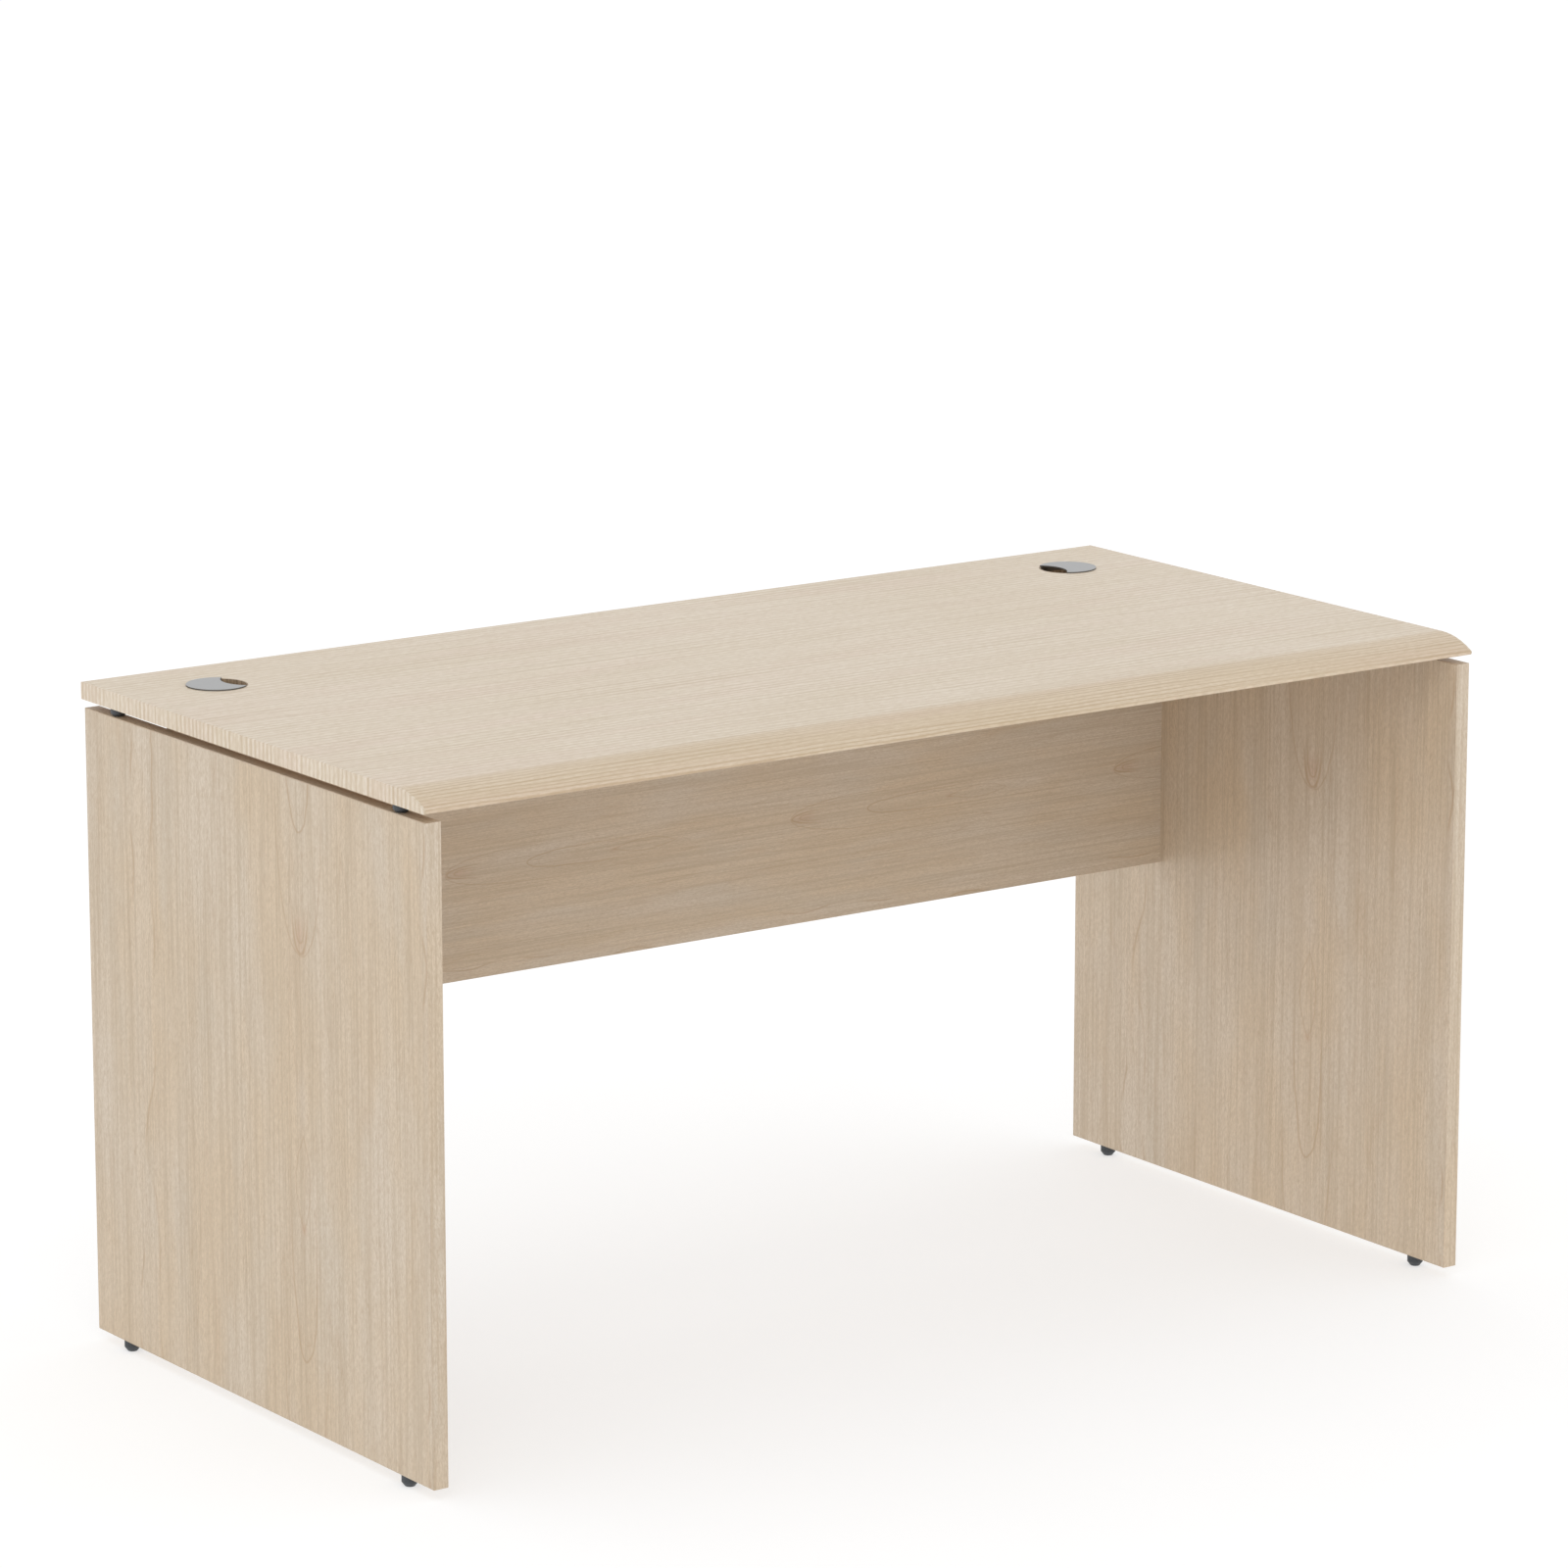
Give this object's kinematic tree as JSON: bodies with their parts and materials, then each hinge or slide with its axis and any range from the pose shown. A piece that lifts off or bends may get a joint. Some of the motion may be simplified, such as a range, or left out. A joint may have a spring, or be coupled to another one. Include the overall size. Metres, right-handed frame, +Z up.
{
  "type": "teacher desk",
  "caption": "Straight panel-leg desk with a crowned front edge, modesty panel, turning cable-port caps and screw-adjustable feet.",
  "frame": {"origin": "on the floor, under the middle of the desktop", "axes": "+X along the desktop's length, -Y towards the seated teacher (the crowned front edge), +Z up"},
  "size_m": [1.4, 0.7, 0.7515],
  "materials": {
    "top_laminate": "satin laminate, fine straight grain along X",
    "top_edge_band": "satin decor edge band",
    "panel_decor": "matt melamine, maple-like decor",
    "panel_edge_band": "matt decor edge band",
    "chipboard": "raw chipboard",
    "backing_sheet": "matt brown backing paper",
    "grommet_plastic": "wood-toned moulded plastic",
    "satin_cap": "satin anodised",
    "dark_plastic": "moulded, slightly satin",
    "zinc_steel": "zinc plated",
    "zinc_diecast": "die-cast zinc",
    "nylon": "natural nylon",
    "beech": "raw beech",
    "cover_plastic": "decor-coloured moulded plastic"
  },
  "bodies": {
    "desk": {"desktop_core": "chipboard", "desktop_laminate": "top_laminate", "desktop_backing_sheet": "backing_sheet", "desktop_edge_left": "top_edge_band", "desktop_edge_right": "top_edge_band", "desktop_edge_rear": "top_edge_band", "left_leg_panel": "panel_decor", "left_leg_edge_front": "panel_edge_band", "left_leg_edge_rear": "panel_edge_band", "left_leg_edge_top": "panel_edge_band", "left_leg_edge_bottom": "panel_edge_band", "right_leg_panel": "panel_decor", "right_leg_edge_front": "panel_edge_band", "right_leg_edge_rear": "panel_edge_band", "right_leg_edge_top": "panel_edge_band", "right_leg_edge_bottom": "panel_edge_band", "modesty_panel": "panel_decor", "modesty_edge_bottom": "panel_edge_band", "left_grommet_liner": "grommet_plastic", "right_grommet_liner": "grommet_plastic", "front_left_spacer": "dark_plastic", "front_right_spacer": "dark_plastic", "rear_left_spacer": "dark_plastic", "rear_right_spacer": "dark_plastic", "spacer_pins": "zinc_steel", "front_left_foot_insert": "nylon", "front_right_foot_insert": "nylon", "rear_left_foot_insert": "nylon", "rear_right_foot_insert": "nylon", "leg_joint_cams": "zinc_diecast", "leg_joint_bolts": "zinc_steel", "leg_joint_dowels": "beech", "leg_joint_cam_covers": "cover_plastic", "top_joint_cams": "zinc_diecast", "top_joint_bolts": "zinc_steel", "top_joint_dowels": "beech", "top_joint_cam_covers": "cover_plastic"},
    "left_grommet_cap": {"left_grommet_cap": "satin_cap"},
    "right_grommet_cap": {"right_grommet_cap": "satin_cap"},
    "front_left_foot_pad": {"front_left_foot_pad": "dark_plastic"},
    "front_left_foot_screw": {"front_left_foot_stem": "zinc_steel", "front_left_foot_collar": "dark_plastic"},
    "front_right_foot_pad": {"front_right_foot_pad": "dark_plastic"},
    "front_right_foot_screw": {"front_right_foot_stem": "zinc_steel", "front_right_foot_collar": "dark_plastic"},
    "rear_left_foot_pad": {"rear_left_foot_pad": "dark_plastic"},
    "rear_left_foot_screw": {"rear_left_foot_stem": "zinc_steel", "rear_left_foot_collar": "dark_plastic"},
    "rear_right_foot_pad": {"rear_right_foot_pad": "dark_plastic"},
    "rear_right_foot_screw": {"rear_right_foot_stem": "zinc_steel", "rear_right_foot_collar": "dark_plastic"}
  },
  "joints": [
    {"name": "left_cap_turn", "type": "hinge", "parent": "desk", "child": "left_grommet_cap", "pos_m": [-0.587, 0.2494, 0.75], "axis": [0, 0, 1], "continuous": true},
    {"name": "right_cap_turn", "type": "hinge", "parent": "desk", "child": "right_grommet_cap", "pos_m": [0.587, 0.2494, 0.75], "axis": [0, 0, 1], "continuous": true},
    {"name": "front_left_foot_height", "type": "slide", "parent": "desk", "child": "front_left_foot_pad", "axis": [0, 0, -1], "range_m": [0, 0.01]},
    {"name": "front_left_foot_turn", "type": "hinge", "parent": "front_left_foot_pad", "child": "front_left_foot_screw", "pos_m": [-0.6886, -0.288, 0], "axis": [0, 0, 1], "range_deg": [0, 3600]},
    {"name": "front_right_foot_height", "type": "slide", "parent": "desk", "child": "front_right_foot_pad", "axis": [0, 0, -1], "range_m": [0, 0.01]},
    {"name": "front_right_foot_turn", "type": "hinge", "parent": "front_right_foot_pad", "child": "front_right_foot_screw", "pos_m": [0.6886, -0.288, 0], "axis": [0, 0, 1], "range_deg": [0, 3600]},
    {"name": "rear_left_foot_height", "type": "slide", "parent": "desk", "child": "rear_left_foot_pad", "axis": [0, 0, -1], "range_m": [0, 0.01]},
    {"name": "rear_left_foot_turn", "type": "hinge", "parent": "rear_left_foot_pad", "child": "rear_left_foot_screw", "pos_m": [-0.6886, 0.288, 0], "axis": [0, 0, 1], "range_deg": [0, 3600]},
    {"name": "rear_right_foot_height", "type": "slide", "parent": "desk", "child": "rear_right_foot_pad", "axis": [0, 0, -1], "range_m": [0, 0.01]},
    {"name": "rear_right_foot_turn", "type": "hinge", "parent": "rear_right_foot_pad", "child": "rear_right_foot_screw", "pos_m": [0.6886, 0.288, 0], "axis": [0, 0, 1], "range_deg": [0, 3600]}
  ],
  "couplings": [
    {"joint": "front_left_foot_turn", "follows": "front_left_foot_height", "rad_per_m": 6283.2},
    {"joint": "front_right_foot_turn", "follows": "front_right_foot_height", "rad_per_m": 6283.2},
    {"joint": "rear_left_foot_turn", "follows": "rear_left_foot_height", "rad_per_m": 6283.2},
    {"joint": "rear_right_foot_turn", "follows": "rear_right_foot_height", "rad_per_m": 6283.2}
  ]
}
